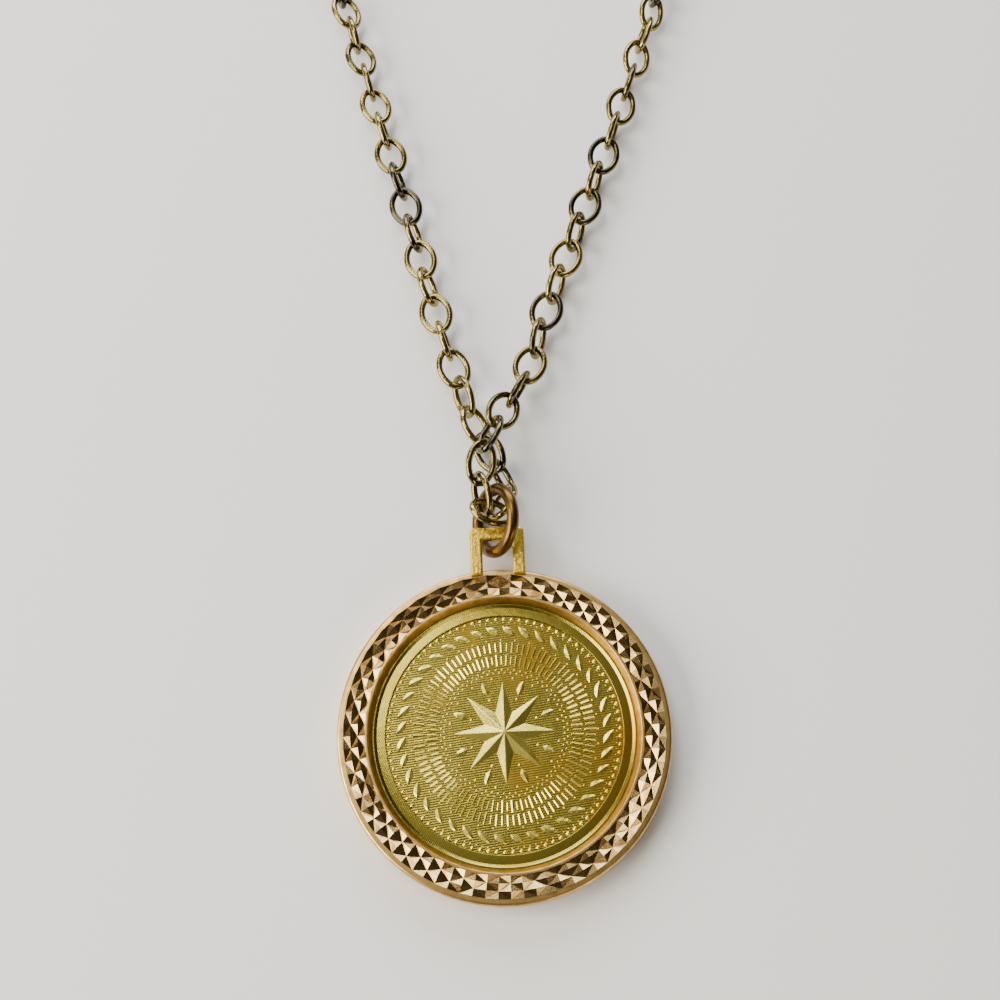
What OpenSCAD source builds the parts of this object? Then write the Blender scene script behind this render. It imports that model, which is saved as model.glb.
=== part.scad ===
// Coin pendant on an oval-link chain, lying flat. Millimetres, +Z up out of the coin's face.
// The origin is the centre of the bezel's flat back, and the bail and chain run towards +Y.

/* [Bezel] */
// Outside diameter of the bezel
bezel_od = 30; // [28:0.5:36]
// Thickness of the bezel's closed back
back_t = 0.8; // [0.6:0.05:1.2]
// Chamfer round the back face
back_chamfer = 0.3; // [0.1:0.05:0.5]
// Width of the smooth shoulder outside the diamond-cut band
shoulder_w = 0.6; // [0.4:0.05:0.8]
// Radius of the rounded shoulder
shoulder_r = 0.3; // [0.2:0.02:0.5]
// Width of the plain bright lip inside the band
lip_w = 0.22; // [0.15:0.01:0.5]
// Height of the lip's top above the coin's rim
lip_h = 0.9; // [0.6:0.05:1.4]
// How far the lip reaches in over the coin's edge
lip_overlap = 0.35; // [0.2:0.05:0.6]

/* [Diamond-cut band] */
// Cuts round the band in each direction
band_cuts = 40; // [30:1:48]
// Rows of diamonds across the band
band_rows = 3; // [2:1:4]
// Height of the lowest cut above the coin's rim
band_low = 0.75; // [0.6:0.05:1.2]
// Depth of the cuts
band_cut_depth = 0.35; // [0.2:0.05:0.6]
// How much the band's middle stands above its two edges
band_dome = 0.12; // [0:0.02:0.3]

/* [Bail] */
// Width of the rectangular bail
bail_w = 5.1; // [4.6:0.1:6]
// Width of each leg
bail_leg_w = 1.15; // [0.8:0.05:1.2]
// Width of the top bar
bail_bar_w = 1.25; // [1:0.05:1.5]
// Thickness of the bail, front to back
bail_t = 0.8; // [0.7:0.05:1]
// Length of the open window between the bezel and the top bar
bail_window_l = 2.8; // [2.6:0.1:4]
// Height of the bail's front above the coin's rim
bail_front = 1.05; // [0.9:0.05:1.3]
// Radius of the bail's outer corners
bail_corner_r = 0.45; // [0.2:0.05:0.8]

/* [Coin] */
// Diameter of the coin
coin_d = 24.4; // [22:0.1:26]
// Thickness of the coin at its rim
coin_t = 1.0; // [0.8:0.05:1.6]
// Clearance between the coin and the bezel
coin_gap = 0.06; // [0.05:0.01:0.12]
// Width of the coin's plain raised rim
coin_rim_w = 1.5; // [1:0.1:2]
// Depth of the coin's field below its rim
coin_field_depth = 0.15; // [0.1:0.01:0.25]
// Width of the sloped edge that turns up inside the bezel's mouth
coin_edge_w = 0.28; // [0.2:0.02:0.5]
// Height of that edge above the rim
coin_edge_h = 0.14; // [0.1:0.02:0.3]
// Height of the raised ornament above the field
relief_h = 0.14; // [0.08:0.01:0.2]
// Beads in the circle inside the rim
bead_count = 90; // [60:1:96]
// Diameter of each bead
bead_d = 0.42; // [0.3:0.02:0.5]
// Leaves round the coin's border
leaf_count = 40; // [24:1:44]
// Length of each border leaf
leaf_l = 1.5; // [1:0.1:1.8]
// Width of each border leaf
leaf_w = 0.62; // [0.4:0.02:0.8]
// Rays in each of the two rings of rays
ray_count = 48; // [32:1:60]
// Length of each ray
ray_l = 1.1; // [0.8:0.1:1.3]
// Width of each ray
ray_w = 0.2; // [0.14:0.02:0.26]
// Points of the star in the middle
star_points = 8; // [6:1:12]
// Diameter across the star's long points
star_d = 9.4; // [6:0.2:10]
// Height of the star's middle above the field
star_h = 0.42; // [0.2:0.02:0.5]

/* [Jump ring] */
// Outside diameter of the jump ring
ring_od = 7.1; // [6.9:0.05:7.3]
// Wire diameter of the jump ring
ring_wire_d = 1.15; // [1:0.05:1.2]
// Lean of the jump ring from lying flat, in degrees
ring_lean = 57; // [54:1:60]
// Turn of the leaning ring, seen from above, in degrees
ring_turn = 4; // [0:1:8]

/* [Chain] */
// Outside length of a link
link_l = 4.6; // [4.4:0.05:5]
// Outside width of a link
link_w = 3.4; // [3.2:0.05:3.6]
// Wire diameter of a link
link_wire_d = 0.62; // [0.5:0.01:0.64]
// Bend radius at the ends of a link, to the middle of its wire
link_end_r = 1.05; // [0.95:0.01:1.2]
// Lean of every other link where the chain lies along the surface, in degrees from upright
link_lean = 20; // [0:1:22]
// Least clearance between linked pieces
link_gap = 0.15; // [0.12:0.01:0.25]

/* [Clasp] */
// Outside diameter of the clasp
clasp_od = 6; // [5.6:0.1:8]
// Wire diameter of the clasp
clasp_wire_d = 1.2; // [1:0.05:1.3]
// Inside diameter of the clasp's small eye
eye_id = 1.5; // [1.4:0.1:2]
// Wire diameter of the clasp's small eye
eye_wire_d = 0.6; // [0.5:0.05:0.7]

/* [Hidden] */

brass = "#b98a4e";
coin_gold = "#b79b3c";
ring_bronze = "#8f6a2c";
chain_gold = "#9c8640";

// Heights and radii that follow from the sizes above
bezel_r = bezel_od / 2;
coin_r = coin_d / 2;
cup_r = coin_r + coin_gap;
coin_z0 = back_t + coin_gap;
coin_rim_z = coin_z0 + coin_t;
cup_top = coin_rim_z + coin_gap;
opening_r = coin_r - lip_overlap;
lip_z = coin_rim_z + lip_h;
band_r2 = bezel_r - shoulder_w;
lip_flare = 0.4;
band_r1 = opening_r + lip_flare + lip_w;
band_z = coin_rim_z + band_low;
band_step = 0.05;
plateau_z = band_z - band_step;
embed = 0.4;
band_seam = 0.06;

bail_z1 = coin_rim_z + bail_front;
bail_z0 = bail_z1 - bail_t;
bail_bar_y = bezel_r + bail_window_l;
bail_y = bail_bar_y + bail_bar_w;
bail_foot_gap = 0.15;
bail_root = 1;

// Places of the coin's ornament, each ring of it inside the last
edge_gap = 0.07;
edge_r = opening_r - edge_gap;
field_z = coin_rim_z - coin_field_depth;
field_r = coin_r - coin_rim_w;
relief_sink = 0.1;
bead_gap = 0.05;
bead_top = 0.7;
bead_r = field_r - bead_gap - bead_d / 2;
wreath_gap = 0.2;
leaf_turn = 55;
leaf_r = field_r - bead_d - wreath_gap - leaf_l / 2;
rays_gap = 0.25;
ray_step = 0.1;
ray_r = leaf_r - leaf_l / 2 - rays_gap - ray_l;
star_notch = 0.42;

// The jump ring rests on the surface and leans through the bail's window, nearer its left leg
ring_r = (ring_od - ring_wire_d) / 2;
ring_z = ring_r * sin(ring_lean) + ring_wire_d / 2;
ring_leg_gap = 0.26;
ring_room = bail_w / 2 - bail_leg_w - ring_wire_d / 2 / sin(ring_lean) - ring_leg_gap;
ring_shift = min(0.45, ring_room);
ring_x = (ring_z - (bail_z0 + bail_z1) / 2) / tan(ring_lean) - ring_shift;
ring_bar_gap = 0.6;
ring_y = bail_bar_y - ring_bar_gap + ring_od / 2 - ring_wire_d;

// An oval link is four arcs, met end to end
link_a = (link_l - link_wire_d) / 2;
link_b = (link_w - link_wire_d) / 2;
link_side_r = ((link_a - link_end_r) ^ 2 + link_b ^ 2 - link_end_r ^ 2) / (2 * (link_b - link_end_r));
link_half = atan2(link_side_r - link_b, link_a - link_end_r);
link_pitch = 2 * link_a - link_wire_d - link_gap;
link_reach = link_a - link_pitch / 2;
floor_gap = 0.04;
// How far along the chain its links stop standing square to each other, and over what length
lean_from = 14;
lean_over = 12;

// Where the clasp lies, and how far it turns from +X
clasp_at = [12.5, 238];
clasp_turn = -4;
clasp_r = (clasp_od - clasp_wire_d) / 2;
eye_r = (eye_id + eye_wire_d) / 2;
clasp_z = link_b + link_wire_d / 2 + floor_gap;
eye_x = -clasp_r - eye_r;
clasp_joint_left = eye_x - eye_r + (eye_wire_d + link_wire_d) / 2 + link_gap - link_reach;
clasp_joint_right = clasp_r - (clasp_wire_d + link_wire_d) / 2 - link_gap + link_reach;

function clasp_point(along) =
    [clasp_at[0] + along * cos(clasp_turn), clasp_at[1] + along * sin(clasp_turn), 0, link_lean];

// The chain's route, each way from the joint in the ring: x, y, lift above lying on the surface,
// and twist of the links in degrees. It is laid out for a ring whose middle is at route_ring, and
// the whole chain moves with the ring.
route_ring = [-0.086, 19.6];
route_shift = [ring_x - route_ring[0], ring_y - route_ring[1], 0];
ring_joint = [0.2, 20.15, 1.7];
left_route = [
    concat(ring_joint, 25), [1.2, 24.8, 0.15, 59], [-0.2, 26.3, 0, 49], [-1.2, 28.7, 0.1, 46],
    [-3, 34, 0, 20], [-4.4, 39, 0, 0], [-8, 54.5, 0, 0], [-14.7, 81.5, 0, 30], [-26, 125, 0, 45],
    [-37, 171, 0, 45], [-38.5, 200, 0, 45], [-27, 222, 0, 45], [-9, 235, 0, 20],
    clasp_point(clasp_joint_left)
];
right_route = [
    concat(ring_joint, 13), [0, 18.95, 2.2, 26], [-1.55, 22.3, 2.4, 25], [-1.05, 25.5, 3.45, 39],
    [-0.3, 28.1, 2.95, 34], [1.75, 31.5, 1.5, 20], [3.5, 34.5, 0.55, -2], [5.2, 40, 0.1, 0],
    [9.6, 51.5, 0, 0], [14.4, 64, 0, 20], [20, 80, 0, 45], [38, 125, 0, 45], [54, 164, 0, 45],
    [58, 190, 0, 45], [50, 216, 0, 45], [34, 232, 0, 20], clasp_point(clasp_joint_right)
];

// The bezel's turned section, without its diamond-cut band
module bezel_section() {
    polygon([
        [0, 0], [bezel_r - back_chamfer, 0], [bezel_r, back_chamfer], [bezel_r, plateau_z - shoulder_r],
        [bezel_r - shoulder_r, plateau_z], [band_r1 + band_seam, plateau_z], [band_r1 + band_seam, lip_z],
        [band_r1 - lip_w, lip_z],
        [opening_r, cup_top], [cup_r, cup_top], [cup_r, back_t], [0, back_t]
    ]);
    translate([bezel_r - shoulder_r, plateau_z - shoulder_r]) circle(r = shoulder_r, $fn = 48);
}

// One corner of the cuts: high and low points take turns round the band and from row to row
function band_point(row, i) =
    let (
        share = row / band_rows,
        r = band_r1 + (band_r2 - band_r1) * share,
        turn = i * 180 / band_cuts,
        high = (row + i) % 2 == 0 ? band_cut_depth : 0,
        dome = band_dome * (1 - (2 * share - 1) ^ 2)
    )
    [r * cos(turn), r * sin(turn), band_z + dome + high];

// The diamond-cut band, with its cuts split along their valleys
module diamond_band() {
    n = 2 * band_cuts;
    rows = band_rows;
    base = (rows + 1) * n;
    function id(row, i) = row * n + i % n;
    top = [for (row = [0:rows], i = [0:n - 1]) band_point(row, i)];
    inner = [for (i = [0:n - 1]) let (p = band_point(0, i)) [p[0], p[1], plateau_z - embed]];
    outer = [for (i = [0:n - 1]) let (p = band_point(rows, i)) [p[0], p[1], plateau_z - embed]];
    cuts = [for (row = [0:rows - 1], i = [0:n - 1], half = [0, 1])
        let (a = id(row, i), b = id(row, i + 1), c = id(row + 1, i + 1), d = id(row + 1, i))
        (row + i) % 2 == 0
            ? (half == 0 ? [a, b, d] : [b, c, d])
            : (half == 0 ? [a, b, c] : [a, c, d])];
    inner_wall = [for (i = [0:n - 1]) let (j = (i + 1) % n) [id(0, j), id(0, i), base + i, base + j]];
    outer_wall = [for (i = [0:n - 1]) let (j = (i + 1) % n)
        [id(rows, i), id(rows, j), base + n + j, base + n + i]];
    under = [for (i = [0:n - 1]) let (j = (i + 1) % n) [base + i, base + n + i, base + n + j, base + j]];
    polyhedron(points = concat(top, inner, outer), faces = concat(cuts, inner_wall, outer_wall, under));
}

// Flat rectangular bail, its foot let into the shoulder
module bail_outline() {
    half = bail_w / 2;
    difference() {
        union() {
            translate([-half, band_r2 - bail_root])
                square([bail_w, bail_y - bail_corner_r - band_r2 + bail_root]);
            translate([-half + bail_corner_r, bail_y - bail_bar_w])
                square([bail_w - 2 * bail_corner_r, bail_bar_w]);
            for (side = [-1, 1])
                translate([side * (half - bail_corner_r), bail_y - bail_corner_r])
                    circle(r = bail_corner_r, $fn = 32);
        }
        translate([bail_leg_w - half, 0]) square([bail_w - 2 * bail_leg_w, bail_bar_y]);
        circle(r = band_r2 + bail_foot_gap, $fn = 96);
    }
}

module bezel() {
    color(brass) {
        rotate_extrude($fn = 160) bezel_section();
        diamond_band();
        translate([0, 0, bail_z0]) linear_extrude(bail_t) bail_outline();
    }
}

// A pointed leaf along +X, its middle at the origin
module leaf_outline(l, w) {
    polygon([
        [-l / 2, 0], [-l / 4, w * 0.42], [0, w / 2], [l / 4, w * 0.32],
        [l / 2, 0], [l / 4, -w * 0.32], [0, -w / 2], [-l / 4, -w * 0.42]
    ]);
}

// Border leaves in a wreath, two rings of rays, one between the rays of the other
module relief_outline() {
    for (i = [0:leaf_count - 1])
        rotate([0, 0, (i + 0.5) * 360 / leaf_count]) translate([leaf_r, 0])
            rotate([0, 0, leaf_turn]) leaf_outline(leaf_l, leaf_w);
    for (i = [0:ray_count - 1], ring = [0, 1])
        rotate([0, 0, (i + ring / 2) * 360 / ray_count])
            translate([ray_r - ring * (ray_l + ray_step), -ray_w / 2]) square([ray_l, ray_w]);
}

// A star with ridged points: each ridge runs from the middle to a tip
module star() {
    n = star_points;
    tip = star_d / 2;
    notch = tip * star_notch;
    sink = relief_sink;
    rim = [for (i = [0:2 * n - 1])
        let (r = i % 2 == 0 ? tip : notch, turn = 90 + i * 180 / n) [r * cos(turn), r * sin(turn), 0]];
    below = [for (p = rim) [p[0], p[1], -sink]];
    polyhedron(
        points = concat([[0, 0, star_h], [0, 0, -sink]], rim, below),
        faces = concat(
            [for (i = [0:2 * n - 1]) [0, 2 + (i + 1) % (2 * n), 2 + i]],
            [for (i = [0:2 * n - 1]) [1, 2 + 2 * n + i, 2 + 2 * n + (i + 1) % (2 * n)]],
            [for (i = [0:2 * n - 1]) [2 + i, 2 + (i + 1) % (2 * n), 2 + 2 * n + (i + 1) % (2 * n), 2 + 2 * n + i]]
        )
    );
}

module coin() {
    color(coin_gold) {
        rotate_extrude($fn = 120) polygon([
            [0, coin_z0], [coin_r, coin_z0], [coin_r, coin_rim_z], [edge_r, coin_rim_z],
            [edge_r, coin_rim_z + coin_edge_h], [edge_r - coin_edge_w, coin_rim_z],
            [field_r, coin_rim_z], [field_r, field_z], [0, field_z]
        ]);
        for (i = [0:bead_count - 1])
            rotate([0, 0, i * 360 / bead_count]) translate([bead_r, 0, field_z - relief_sink])
                cylinder(h = relief_h + relief_sink, d1 = bead_d, d2 = bead_d * bead_top, $fn = 16);
        translate([0, 0, field_z - relief_sink])
            linear_extrude(relief_h + relief_sink) relief_outline();
        translate([0, 0, field_z]) star();
    }
}

module jump_ring() {
    color(ring_bronze)
        translate([ring_x, ring_y, ring_z]) rotate([0, 0, ring_turn]) rotate([0, -ring_lean, 0])
            rotate_extrude($fn = 64) translate([ring_r, 0]) circle(d = ring_wire_d, $fn = 32);
}

module wire_arc(r, from, to, d) {
    rotate([0, 0, from])
        rotate_extrude(angle = to - from, $fn = 48) translate([r, 0]) circle(d = d, $fn = 20);
}

// A link lies in XY with its length along X, and each half runs from one end's middle to the other's
module oval_link() {
    for (side = [0, 180]) rotate([0, 0, side]) {
        translate([link_a - link_end_r, 0, 0]) wire_arc(link_end_r, 0, link_half, link_wire_d);
        translate([0, link_b - link_side_r, 0])
            wire_arc(link_side_r, link_half, 180 - link_half, link_wire_d);
        translate([link_end_r - link_a, 0, 0]) wire_arc(link_end_r, 180 - link_half, 180, link_wire_d);
    }
}

// A smooth curve through the route's points, as rows of distance, x, y, height and twist
function span(p, q) = norm([q[0] - p[0], q[1] - p[1], q[2] - p[2]]);
function spans(route) = [for (i = [1:len(route) - 1]) span(route[i - 1], route[i])];
function slopes(route, h) =
    let (last = len(route) - 1, u = [for (i = [1:last]) (route[i] - route[i - 1]) / h[i - 1]])
    [for (i = [0:last])
        i == 0 ? u[0] : i == last ? u[last - 1]
            : (u[i - 1] * h[i] + u[i] * h[i - 1]) / (h[i] + h[i - 1])];
function blend(p, q, m, n, t) =
    (2 * t ^ 3 - 3 * t ^ 2 + 1) * p + (t ^ 3 - 2 * t ^ 2 + t) * m
        + (3 * t ^ 2 - 2 * t ^ 3) * q + (t ^ 3 - t ^ 2) * n;
function link_turn(s) = 90 - link_lean * min(1, max(0, (s - lean_from) / lean_over));
function on_surface(p, turn) =
    let (side = link_b * max(abs(sin(p[3])), abs(sin(p[3] + turn))))
    [p[0], p[1], p[2] + side + link_wire_d / 2 + floor_gap, p[3]];
function smooth(route) =
    let (h = spans(route), m = slopes(route, h), last = len(route) - 1)
    [for (i = [1:last], k = [0:ceil(h[i - 1] * 4) - 1])
        blend(route[i - 1], route[i], m[i - 1] * h[i - 1], m[i] * h[i - 1], k / ceil(h[i - 1] * 4)),
        route[last]];
function measured(points) =
    let (last = len(points) - 1)
    [for (i = 0, s = 0; i <= last; s = i < last ? s + span(points[i], points[i + 1]) : s, i = i + 1)
        concat([s], points[i])];
function column(rows, k) = [for (row = rows) [row[0], row[k]]];
function curve(route) = let (rows = measured(smooth(route)))
    [for (k = [1:4]) column(rows, k)];
function place(columns, s) = on_surface([for (k = [0:3]) lookup(s, columns[k])], link_turn(s));

// Links from the joint in the ring to the clasp, each turned from the last. Where their number
// would leave the last one flat at the clasp, that turn is made up along the way.
module strand(route, first) {
    columns = curve(route);
    total = columns[0][len(columns[0]) - 1][0];
    count = ceil(total / link_pitch);
    pitch = total / count;
    spare = (count + first) % 2 == 0 ? 0 : link_turn(total);
    for (i = [0:count - 1]) {
        p = place(columns, i * pitch);
        q = place(columns, (i + 1) * pitch);
        twist = lookup((i + 0.5) * pitch, columns[3]);
        d = [q[0] - p[0], q[1] - p[1], q[2] - p[2]];
        roll = twist + link_turn((i + 0.5) * pitch) * ((i + first) % 2) + spare * i / count;
        translate([(p[0] + q[0]) / 2, (p[1] + q[1]) / 2, (p[2] + q[2]) / 2])
            rotate([0, -atan2(d[2], norm([d[0], d[1]])), atan2(d[1], d[0])])
                rotate([roll, 0, 0]) oval_link();
    }
}

module chain_left() {
    color(chain_gold) translate(route_shift) strand(left_route, 1);
}

module chain_right() {
    color(chain_gold) translate(route_shift) strand(right_route, 0);
}

// Closed ring with a small eye, lying flat between the two last links
module clasp() {
    color(chain_gold)
        translate(route_shift + [clasp_at[0], clasp_at[1], clasp_z]) rotate([0, 0, clasp_turn]) {
            rotate_extrude($fn = 64) translate([clasp_r, 0]) circle(d = clasp_wire_d, $fn = 32);
            translate([eye_x, 0, 0])
                rotate_extrude($fn = 48) translate([eye_r, 0]) circle(d = eye_wire_d, $fn = 24);
        }
}

bezel();
coin();
jump_ring();
chain_left();
chain_right();
clasp();
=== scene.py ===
import math
import random

import bmesh
import bpy
import numpy as np
from mathutils import Matrix, Vector


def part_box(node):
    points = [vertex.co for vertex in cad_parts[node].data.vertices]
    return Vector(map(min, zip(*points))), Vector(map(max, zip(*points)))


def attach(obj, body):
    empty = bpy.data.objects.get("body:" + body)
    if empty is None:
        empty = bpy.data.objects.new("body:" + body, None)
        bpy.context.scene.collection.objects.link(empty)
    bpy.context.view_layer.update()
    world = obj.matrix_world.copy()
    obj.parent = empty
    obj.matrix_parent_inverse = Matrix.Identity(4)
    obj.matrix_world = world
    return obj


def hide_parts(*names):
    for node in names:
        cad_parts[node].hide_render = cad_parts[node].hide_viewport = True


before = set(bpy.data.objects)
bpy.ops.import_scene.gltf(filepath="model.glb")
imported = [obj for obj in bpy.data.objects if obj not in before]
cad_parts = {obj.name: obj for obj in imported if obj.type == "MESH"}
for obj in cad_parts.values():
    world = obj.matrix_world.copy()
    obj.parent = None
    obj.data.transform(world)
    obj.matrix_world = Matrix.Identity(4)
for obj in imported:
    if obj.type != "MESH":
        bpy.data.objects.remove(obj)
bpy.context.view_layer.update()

mm = 0.001
print("frame loaded,", len(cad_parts), "nodes")

# Camera, as the photograph was taken: nearly overhead, from the pendant's lower side

camera = {
    "height": 119.0,        # mm above the floor
    "foot": (-0.41, -18.3), # mm from the pendant's centre, in the picture's own axes
    "tilt": 19.0,           # degrees from straight down
    "turn": -2.26,          # degrees that the bail leans in the picture
    "focalPixels": 1300,
    "framePixels": 1000,
}


def makeCamera(spec):
    data = bpy.data.cameras.new("camera")
    data.sensor_width = 36
    data.lens = data.sensor_width * spec["focalPixels"] / spec["framePixels"]
    data.clip_start = 0.005
    data.dof.use_dof = False
    tilt = math.radians(spec["tilt"])
    turn = Matrix.Rotation(math.radians(spec["turn"]), 3, "Z")
    place = turn @ Vector((spec["foot"][0], spec["foot"][1], spec["height"])) * mm
    look = turn @ Vector((0, math.sin(tilt), -math.cos(tilt)))
    up = turn @ Vector((0, math.cos(tilt), math.sin(tilt)))
    axes = Matrix((look.cross(up), up, -look)).transposed()
    body = bpy.data.objects.new("camera", data)
    body.matrix_world = Matrix.Translation(place) @ axes.to_4x4()
    bpy.context.scene.collection.objects.link(body)
    bpy.context.scene.camera = body


makeCamera(camera)
print("camera placed")

# Small helpers


def toLinear(text):
    # sRGB hex to a linear colour with alpha
    parts = [int(text[i:i + 2], 16) / 255 for i in (0, 2, 4)]
    return [p / 12.92 if p <= 0.04045 else ((p + 0.055) / 1.055) ** 2.4 for p in parts] + [1.0]


def addNode(tree, kind, inputs=None, **settings):
    node = tree.nodes.new(kind)
    for name, value in settings.items():
        setattr(node, name, value)
    for name, value in (inputs or {}).items():
        socket = node.inputs[name]
        if isinstance(value, bpy.types.NodeSocket):
            tree.links.new(value, socket)
        else:
            socket.default_value = value
    return node


def meshFrom(name, points, faces, smooth=True):
    mesh = bpy.data.meshes.new(name)
    mesh.from_pydata([tuple(p) for p in points], [], faces)
    mesh.update()
    mesh.polygons.foreach_set("use_smooth", [smooth] * len(mesh.polygons))
    piece = bpy.data.objects.new(name, mesh)
    bpy.context.scene.collection.objects.link(piece)
    return piece


def cleanUp(piece, merge=1e-7):
    # doubles merged, then all faces turned outwards
    work = bmesh.new()
    work.from_mesh(piece.data)
    bmesh.ops.remove_doubles(work, verts=work.verts, dist=merge)
    bmesh.ops.recalc_face_normals(work, faces=work.faces)
    work.to_mesh(piece.data)
    work.free()


def sharpen(piece, angle=28):
    # smooth shading that stops at edges sharper than this
    piece.data.set_sharp_from_angle(angle=math.radians(angle))


def joined(name, pieces):
    # several meshes as one, each closed by itself
    work = bmesh.new()
    for piece in pieces:
        work.from_mesh(piece.data)
    mesh = bpy.data.meshes.new(name)
    work.to_mesh(mesh)
    work.free()
    mesh.materials.append(pieces[0].data.materials[0])
    for piece in pieces:
        bpy.data.objects.remove(piece)
    whole = bpy.data.objects.new(name, mesh)
    bpy.context.scene.collection.objects.link(whole)
    return whole


def applyModifiers(piece):
    graph = bpy.context.evaluated_depsgraph_get()
    mesh = bpy.data.meshes.new_from_object(piece.evaluated_get(graph))
    piece.modifiers.clear()
    old = piece.data
    piece.data = mesh
    bpy.data.meshes.remove(old)


def bevelPiece(piece, width, segments, angle):
    # edges sharper than the angle, in degrees, are rounded over by the width, in mm
    change = piece.modifiers.new("edges", "BEVEL")
    change.width = width * mm
    change.segments = segments
    change.limit_method = "ANGLE"
    change.angle_limit = math.radians(angle)
    change.harden_normals = False
    applyModifiers(piece)


def roundCorners(points, steps=4):
    # each point is (radius, height, corner radius); rounded corners become short arcs
    out = []
    last = len(points) - 1
    for i, (x, y, r) in enumerate(points):
        if r == 0 or i in (0, last):
            out.append((x, y))
            continue
        here = Vector((x, y))
        back = (Vector(points[i - 1][:2]) - here).normalized()
        ahead = (Vector(points[i + 1][:2]) - here).normalized()
        half = back.angle(ahead) / 2
        reach = r / math.tan(half)
        centre = here + (back + ahead).normalized() * (r / math.sin(half))
        start = here + back * reach - centre
        end = here + ahead * reach - centre
        sweep = start.angle_signed(end)
        for k in range(steps + 1):
            turn = -sweep * k / steps
            spoke = Vector((start.x * math.cos(turn) - start.y * math.sin(turn),
                            start.x * math.sin(turn) + start.y * math.cos(turn)))
            out.append(tuple(centre + spoke))
    return out


def turned(name, outline, sides):
    # a closed turned body; points on the axis are single
    points = []
    rows = []
    for x, y in outline:
        if x < 1e-6:
            rows.append([len(points)] * sides)
            points.append((0, 0, y * mm))
            continue
        rows.append(list(range(len(points), len(points) + sides)))
        for k in range(sides):
            turn = 2 * math.pi * k / sides
            points.append((x * mm * math.cos(turn), x * mm * math.sin(turn), y * mm))
    faces = []
    for a, b in zip(rows, rows[1:]):
        for k in range(sides):
            n = (k + 1) % sides
            face = []
            for v in (a[k], a[n], b[n], b[k]):
                if v not in face:
                    face.append(v)
            if len(face) > 2:
                faces.append(face)
    return meshFrom(name, points, faces)


# Metals. Real sizes give each pattern's scale, and the colours are the worn gold plating's own.
# Grain is mm across each patch of wear, pit is mm across each fine pit, bump is how strongly pits show.

metals = {
    # gold-filled brass, lathe turned and polished: warm, soft marks of wear
    "turnedRoseGold": {
        "base": "DAB46E", "worn": "B08A50", "rough": 0.32, "grain": 0.9, "pit": 0.12, "bump": 0.04},
    # the same plating cut with a diamond wheel: mirror facets
    "diamondCutGold": {
        "base": "BEA268", "worn": "8C6C3E", "rough": 0.18, "grain": 1.2, "pit": 0.12, "bump": 0.1},
    # sand-blasted gold plating on the bail; its grain is drawn a little coarse so that it shows
    "satinYellowGold": {
        "base": "F0CC50", "worn": "A07420", "rough": 0.3, "grain": 0.24, "pit": 0.2, "bump": 1.0},
    # old bronze-coloured plating of the jump ring
    "agedBronze": {
        "base": "72562A", "worn": "443316", "rough": 0.28, "grain": 1.6, "pit": 0.12, "bump": 0.06},
}
metalWear = {
    "start": 0.35,          # level of the wear's noise at which the plating begins to look worn
    "full": 0.75,
    "smoothest": 0.75,      # the roughness runs between these shares of the metal's own
    "roughest": 1.35,
    "pitDepth": 0.05,       # mm
}


def makeMetal(name, spec):
    material = bpy.data.materials.new(name)
    material.use_nodes = True
    tree = material.node_tree
    shader = tree.nodes["Principled BSDF"]
    shader.inputs["Metallic"].default_value = 1.0
    place = addNode(tree, "ShaderNodeTexCoord").outputs["Object"]
    patches = addNode(tree, "ShaderNodeTexNoise",
                      {"Vector": place, "Scale": 1 / (spec["grain"] * mm), "Detail": 4.0})
    wear = addNode(tree, "ShaderNodeMapRange",
                   {"Value": patches.outputs["Fac"], "From Min": metalWear["start"],
                    "From Max": metalWear["full"]})
    colour = addNode(tree, "ShaderNodeMix", data_type="RGBA")
    tree.links.new(wear.outputs["Result"], colour.inputs[0])
    colour.inputs[6].default_value = toLinear(spec["base"])
    colour.inputs[7].default_value = toLinear(spec["worn"])
    tree.links.new(colour.outputs[2], shader.inputs["Base Color"])
    rough = addNode(tree, "ShaderNodeMapRange",
                    {"Value": patches.outputs["Fac"], "To Min": spec["rough"] * metalWear["smoothest"],
                     "To Max": spec["rough"] * metalWear["roughest"]})
    tree.links.new(rough.outputs["Result"], shader.inputs["Roughness"])
    pits = addNode(tree, "ShaderNodeTexNoise",
                   {"Vector": place, "Scale": 1 / (spec["pit"] * mm), "Detail": 3.0})
    bump = addNode(tree, "ShaderNodeBump",
                   {"Height": pits.outputs["Fac"], "Strength": spec["bump"],
                    "Distance": metalWear["pitDepth"] * mm})
    tree.links.new(bump.outputs["Normal"], shader.inputs["Normal"])
    return material


finish = {name: makeMetal(name, spec) for name, spec in metals.items()}
print("metals made:", len(finish))

# Bezel: the turned cup, its diamond-cut band and the flat bail

bezel = {
    "backT": 0.8,
    "backChamfer": 0.3,
    "turnedEdge": 0.08,     # radius of the corners that the lathe left
    "plateau": 2.56,        # height of the ledge that the band stands on
    "shoulderR": 0.3,
    "bandInner": 12.47,
    "bandOuter": 14.4,
    "seatInset": 0.1,       # the band's seat is narrower than the band at each side, and sunk in the ledge
    "seatDepth": 0.2,
    "lipFoot": 0.06,        # how far the lip's outer side reaches under the band, at its foot and at its top
    "lipHead": 0.04,
    "lipEdge": 0.06,
    "lipInner": 12.25,
    "lipTop": 2.76,
    "mouth": 11.85,
    "mouthZ": 1.98,
    "mouthT": 0.06,         # thickness of the mouth's thin edge
    "mouthEdge": 0.03,
    "cupR": 12.26,
    "sides": 240,
}
band = {
    "cuts": 40,             # in each direction
    "rows": 3,
    "low": 2.61,
    "cutDepth": 0.35,
    "dome": 0.12,           # the band's middle stands this much higher than its sides
    "sink": 0.4,            # depth of the band's foot below the ledge
    "uneven": 0.012,        # how far the cuts wander along the band
    "unevenHigh": 0.0072,   # and in height
    "seed": 4,
}
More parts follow.
